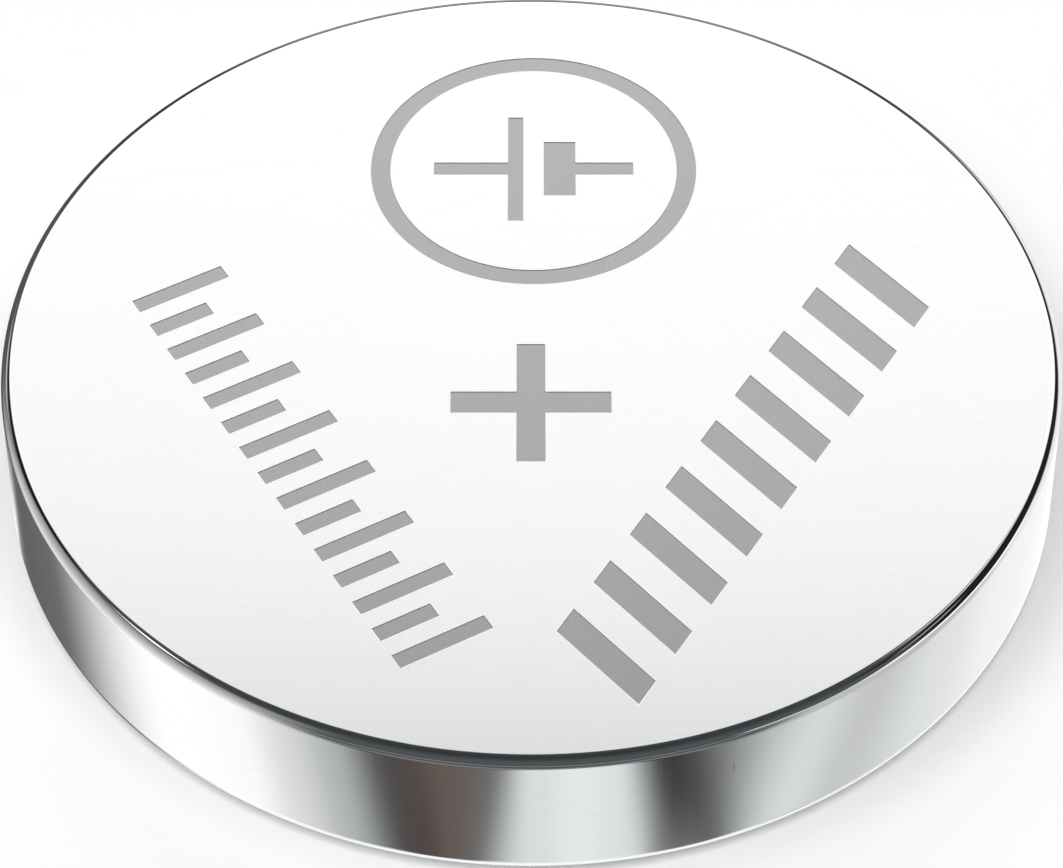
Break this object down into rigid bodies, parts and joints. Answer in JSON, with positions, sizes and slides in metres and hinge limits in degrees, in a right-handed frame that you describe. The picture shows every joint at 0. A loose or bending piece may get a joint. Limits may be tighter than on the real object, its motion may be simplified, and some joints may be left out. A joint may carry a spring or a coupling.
{
  "type": "lithium coin cell",
  "caption": "Lithium coin cell: crimped steel can with flat positive face, sealing gasket, folded-edge negative cap, and lithium, separator and cathode stack inside.",
  "frame": {"origin": "centre of the negative contact face, on the cell's axis", "axes": "+Z along the axis from the negative face to the positive face; X and Y are free, because the cell is round"},
  "size_m": [0.02, 0.02, 0.0032],
  "materials": {
    "can_steel": "nickel-plated steel, fine satin face and polished wall",
    "gasket_plastic": "moulded polypropylene",
    "cap_steel": "nickel-plated steel, satin",
    "separator_sheet": "non-woven porous sheet",
    "ring_steel": "bare stainless steel",
    "cathode_mix": "pressed powder",
    "lithium_foil": "soft rolled metal"
  },
  "bodies": {
    "root": {"positive_can": "can_steel", "gasket": "gasket_plastic", "negative_cap": "cap_steel", "separator": "separator_sheet", "cathode_ring": "ring_steel", "cathode_pellet": "cathode_mix", "lithium_disc": "lithium_foil"}
  },
  "joints": []
}
